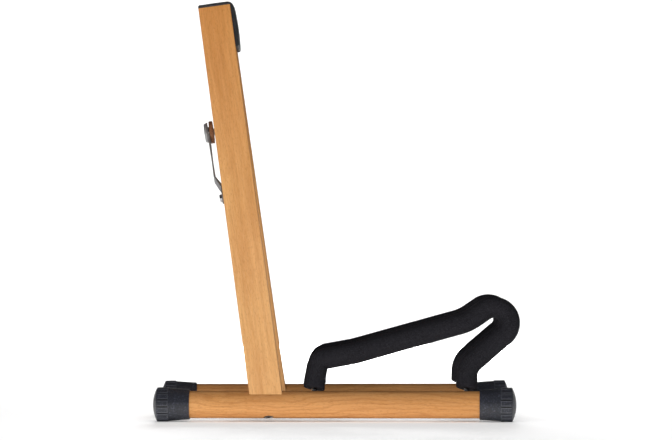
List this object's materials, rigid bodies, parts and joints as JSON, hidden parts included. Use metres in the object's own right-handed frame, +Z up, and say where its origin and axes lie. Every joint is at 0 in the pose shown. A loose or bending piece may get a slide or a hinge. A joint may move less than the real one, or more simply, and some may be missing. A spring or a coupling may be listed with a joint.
{
  "type": "guitar rack",
  "caption": "Folding wooden A-frame guitar rack with round base rails, leaning uprights and foam-covered arms, braced by steel links.",
  "frame": {"origin": "on the floor, at the middle of the overall box when the rack stands open", "axes": "+X to the front, where the arms end, +Y to the rack's left side, +Z up"},
  "size_m": [0.4046, 0.2864, 0.4675],
  "materials": {
    "beech_rail": "satin lacquered round beech",
    "beech_upright": "satin lacquered beech",
    "cap_rubber": "satin moulded black rubber",
    "arm_foam": "matt charcoal foam tube",
    "pad_rubber": "matt black pad",
    "rod_steel": "bright plated rod",
    "zinc_steel": "zinc-plated fasteners",
    "hinge_steel": "plated steel",
    "link_steel": "grey steel strip",
    "rivet_steel": "domed steel",
    "screw_chrome": "bright pan-head screw",
    "disc_brown": "dark brown moulded disc"
  },
  "bodies": {
    "right_frame": {"right_base_rail": "beech_rail", "right_upright": "beech_upright", "right_front_cap": "cap_rubber", "right_rear_cap": "cap_rubber", "right_arm_rod": "rod_steel", "right_arm_foam": "arm_foam", "right_top_pad": "pad_rubber", "right_upright_bolt": "zinc_steel", "right_bolt_washer": "zinc_steel", "right_threaded_insert": "zinc_steel", "right_hinge_leaf": "hinge_steel", "right_hinge_screws": "zinc_steel", "right_link_screw": "screw_chrome", "hinge_pin": "hinge_steel"},
    "left_frame": {"left_base_rail": "beech_rail", "left_upright": "beech_upright", "left_front_cap": "cap_rubber", "left_rear_cap": "cap_rubber", "left_arm_rod": "rod_steel", "left_arm_foam": "arm_foam", "left_top_pad": "pad_rubber", "left_upright_bolt": "zinc_steel", "left_bolt_washer": "zinc_steel", "left_threaded_insert": "zinc_steel", "left_hinge_leaf": "hinge_steel", "left_hinge_screws": "zinc_steel", "left_link_screw": "screw_chrome"},
    "right_link": {"right_brace_link": "link_steel", "brace_rivet": "rivet_steel", "brace_disc": "disc_brown"},
    "left_link": {"left_brace_link": "link_steel", "stop_pin": "zinc_steel"}
  },
  "joints": [
    {"name": "fold", "type": "hinge", "parent": "right_frame", "child": "left_frame", "pos_m": [-0.13573, 0, 0.44646], "axis": [0.9905, 0, 0.1374], "range_deg": [-25, 0]},
    {"name": "right_link_pivot", "type": "hinge", "parent": "right_frame", "child": "right_link", "pos_m": [-0.1261, -0.06203, 0.24611], "axis": [0.9905, 0, 0.1374], "range_deg": [0, 17.2]},
    {"name": "left_link_pivot", "type": "hinge", "parent": "left_frame", "child": "left_link", "pos_m": [-0.1261, 0.06203, 0.24611], "axis": [0.9905, 0, 0.1374], "range_deg": [-17.2, 0]}
  ],
  "couplings": [
    {"joint": "right_link_pivot", "follows": "fold", "ratio": -0.684},
    {"joint": "left_link_pivot", "follows": "fold", "ratio": 0.684}
  ]
}
